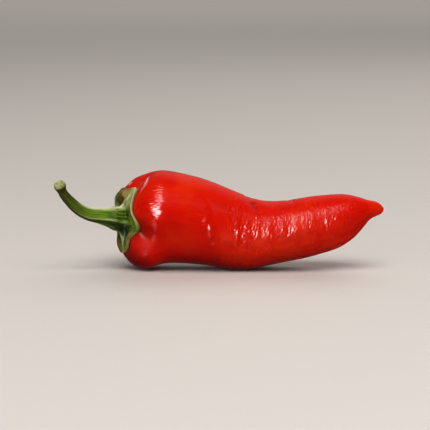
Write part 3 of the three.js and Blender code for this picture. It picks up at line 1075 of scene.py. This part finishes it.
def green_material(settings):
    """The calyx and stem: striped green with pale ridges, olive skin and a cream edge, with painted
    shade in the valleys, crinkles and lower sides, and a painted highlight on the ribs.
    """
    material, tree, shader = new_material("green_calyx_and_stem", {
        "Specular IOR Level": 0.12, "Subsurface Weight": 0.08,
        "Subsurface Radius": (0.4, 0.6, 0.1), "Subsurface Scale": 0.6 * MM,
    })
    place = add_node(tree, "ShaderNodeTexCoord").outputs["Object"]
    grain = attribute(tree, "grain", "Vector")
    thin = attribute(tree, "thin")

    stripes = place_group(tree, "Grown streaks", {
        "Grain": grain, "Length": 7.0, "Fineness": 1.6, "Low": 0.42, "High": 0.68,
    }).outputs["Mask"]
    hairlines = place_group(tree, "Grown streaks", {
        "Grain": grain, "Length": 3.0, "Fineness": 5.0, "Low": 0.45, "High": 0.75,
    }).outputs
    patches = place_group(tree, "Cloudy patches", {
        "Vector": place, "Scale": 420.0, "Detail": 4.0, "Low": 0.4, "High": 0.66,
    }).outputs["Mask"]
    specks = place_group(tree, "Specks", {
        "Vector": place, "Scale": 900.0, "Size": 0.2,
    }).outputs["Mask"]

    colour = layered(tree, settings.green, [
        (stripes, 0.85, settings.dark_green),
        (hairlines["Mask"], 0.55, settings.dark_green),
        # Painted shade on the stem's lower sides.
        (attribute(tree, "dull"), 0.75, settings.side_shade_green),
        (attribute(tree, "upper"), 0.9, settings.neck),
        (thin, 1.0, settings.olive),
        (worked_out(tree, "MULTIPLY", patches, thin), 0.15, settings.pale_green),
        # Painted shade in the valleys.
        (attribute(tree, "valley"), 0.85, settings.dark_green),
        # The ribs' pale crests: partly their own colour, partly a painted highlight.
        (attribute(tree, "rib"), 0.92, settings.pale_green),
        (attribute(tree, "cream"), 0.9, settings.cream),
        (attribute(tree, "cut"), 1.0, settings.cut_face),
        # Painted shade in the crinkles and dents.
        (attribute(tree, "crinkle"), 0.55, settings.dark_green),
        (specks, 0.3, settings.dark_green),
    ])
    tree.links.new(colour, shader.inputs["Base Color"])
    tree.links.new(scaled(tree, patches, 0.15, 0.42), shader.inputs["Roughness"])
    bumped(tree, shader, scaled(tree, patches, 0.4, hairlines["Height"]), 0.5, 0.12 * MM)
    return material


def dress(piece, material, node):
    """Gives a piece its material, puts it on its body and lets it stand for its node."""
    piece.data.materials.append(material)
    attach(piece, "root")
    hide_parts(node)


def area_light(name, place, aim, size, power, glossy):
    """An oval light at a place, pointed at the aim. It makes either highlights or soft light."""
    data = bpy.data.lights.new(name, "AREA")
    data.shape = "ELLIPSE"
    data.size, data.size_y = size
    data.energy = power
    light = add_object(name, data)
    light.visible_glossy = glossy
    light.visible_diffuse = not glossy
    light.location = place
    light.rotation_mode = "QUATERNION"
    light.rotation_quaternion = (aim - place).to_track_quat("-Z", "Y")


def way_to(azimuth, elevation):
    """The direction to a place, in degrees. Azimuth 0 is the camera's side, and grows rightwards."""
    a = math.radians(azimuth)
    e = math.radians(elevation)
    return Vector((math.sin(a) * math.cos(e), -math.cos(a) * math.cos(e), math.sin(e)))


def make_camera():
    """The camera at the photo's angle and framing."""
    data = bpy.data.cameras.new("camera")
    data.sensor_width = SENSOR_WIDTH
    data.lens = SENSOR_WIDTH * CAMERA_DISTANCE / PICTURE_WIDTH
    data.clip_start = 0.05
    data.clip_end = 50.0
    camera = add_object("camera", data)
    looking = Vector((0, math.cos(CAMERA_ELEVATION), -math.sin(CAMERA_ELEVATION)))
    up = Vector((0, math.sin(CAMERA_ELEVATION), math.cos(CAMERA_ELEVATION)))
    aim = Vector((AIM_RIGHT, 0, AIM_HEIGHT)) + up * AIM_UP
    camera.location = aim - looking * CAMERA_DISTANCE
    camera.rotation_mode = "QUATERNION"
    camera.rotation_quaternion = looking.to_track_quat("-Z", "Y")
    bpy.context.scene.camera = camera


def make_world(settings):
    """A dim even room with a soft glow behind and above the pod."""
    world = bpy.data.worlds.new("studio")
    world.use_nodes = True
    tree = world.node_tree
    way = add_node(tree, "ShaderNodeTexCoord").outputs["Generated"]
    glow_way = way_to(GLOW_AZIMUTH, GLOW_ELEVATION)
    near = add_node(tree, "ShaderNodeVectorMath", {0: way, 1: glow_way}, operation="DOT_PRODUCT")
    brightest = settings.room_light + settings.back_light
    glow = smooth_range(tree, near.outputs["Value"], 0.75, 1.0, settings.room_light, brightest)
    height = add_node(tree, "ShaderNodeSeparateXYZ", {"Vector": way}).outputs["Z"]
    above = smooth_range(tree, height, 0.1, 1.0, to_high=settings.sky_light)
    background = tree.nodes["Background"]
    tree.links.new(worked_out(tree, "ADD", glow, above), background.inputs["Strength"])
    background.inputs["Color"].default_value = (*ROOM_COLOUR, 1)
    return world


def make_floor(settings):
    """A wide plain pale floor."""
    size = FLOOR_HALF_WIDTH
    corners = [(-size, -size, 0), (size, -size, 0), (size, size, 0), (-size, size, 0)]
    mesh = bpy.data.meshes.new("floor")
    mesh.from_pydata(corners, [], [(0, 1, 2, 3)])
    floor = add_object("floor", mesh)
    material, _, _ = new_material("pale_floor", {
        "Base Color": (*settings.floor_colour, 1), "Roughness": 0.6,
    })
    mesh.materials.append(material)
    floor.visible_glossy = False


class PEPPER_OT_build_pod(bpy.types.Operator):
    """Build the red pod with its lobed head, creases, wrinkles and waxy skin"""

    bl_idname = "pepper.build_pod"
    bl_label = "Build pod"

    def execute(self, context):
        settings = context.scene.pepper_pod
        dress(pod_mesh(settings), skin_material(settings), "pod")
        return {"FINISHED"}


class PEPPER_OT_build_stem(bpy.types.Operator):
    """Build the green calyx and the curved stem with its cut end"""

    bl_idname = "pepper.build_stem"
    bl_label = "Build calyx and stem"

    def execute(self, context):
        settings = context.scene.pepper_stem
        dress(stem_mesh(settings), green_material(settings), "stem_and_calyx")
        return {"FINISHED"}


class PEPPER_OT_build_stage(bpy.types.Operator):
    """Build the pale floor, the soft lights and the camera"""

    bl_idname = "pepper.build_stage"
    bl_label = "Build stage"

    def execute(self, context):
        settings = context.scene.pepper_stage
        make_floor(settings)
        make_camera()
        context.scene.view_settings.view_transform = "Standard"
        context.scene.view_settings.look = "Medium High Contrast"
        context.scene.world = make_world(settings)
        aim = Vector((0, 0, AIM_HEIGHT))
        for name, azimuth, elevation, size, glossy in LIGHTS:
            place = aim + way_to(azimuth, elevation) * LIGHT_DISTANCE
            area_light(name, place, aim, size, getattr(settings, name + "_power"), glossy)
        above_far_floor = FAR_FLOOR + FAR_LIGHT_HEIGHT
        area_light("far", above_far_floor, FAR_FLOOR, FAR_LIGHT_SIZE, settings.far_power, False)
        return {"FINISHED"}


class PEPPER_PT_panel(bpy.types.Panel):
    """The pepper's operators and settings"""

    bl_idname = "PEPPER_PT_panel"
    bl_label = "Pepper"
    bl_space_type = "VIEW_3D"
    bl_region_type = "UI"
    bl_category = "Pepper"

    def draw(self, context):
        for operator, settings in (
            ("pepper.build_pod", context.scene.pepper_pod),
            ("pepper.build_stem", context.scene.pepper_stem),
            ("pepper.build_stage", context.scene.pepper_stage),
        ):
            box = self.layout.box()
            box.operator(operator)
            for name in settings.bl_rna.properties.keys():
                if name not in ("rna_type", "name"):
                    box.prop(settings, name)


CLASSES = (
    PepperPodSettings,
    PepperStemSettings,
    PepperStageSettings,
    PEPPER_OT_build_pod,
    PEPPER_OT_build_stem,
    PEPPER_OT_build_stage,
    PEPPER_PT_panel,
)


def register():
    """Makes the classes known to Blender and gives the scene its settings."""
    for entry in CLASSES:
        bpy.utils.register_class(entry)
    bpy.types.Scene.pepper_pod = PointerProperty(type=PepperPodSettings)
    bpy.types.Scene.pepper_stem = PointerProperty(type=PepperStemSettings)
    bpy.types.Scene.pepper_stage = PointerProperty(type=PepperStageSettings)


def unregister():
    """Takes back what register did."""
    del bpy.types.Scene.pepper_pod
    del bpy.types.Scene.pepper_stem
    del bpy.types.Scene.pepper_stage
    for entry in reversed(CLASSES):
        bpy.utils.unregister_class(entry)


def main():
    """Builds the pepper and the stage that it lies on."""
    register()
    bpy.ops.pepper.build_pod()
    bpy.ops.pepper.build_stem()
    bpy.ops.pepper.build_stage()


if __name__ == "__main__":
    main()
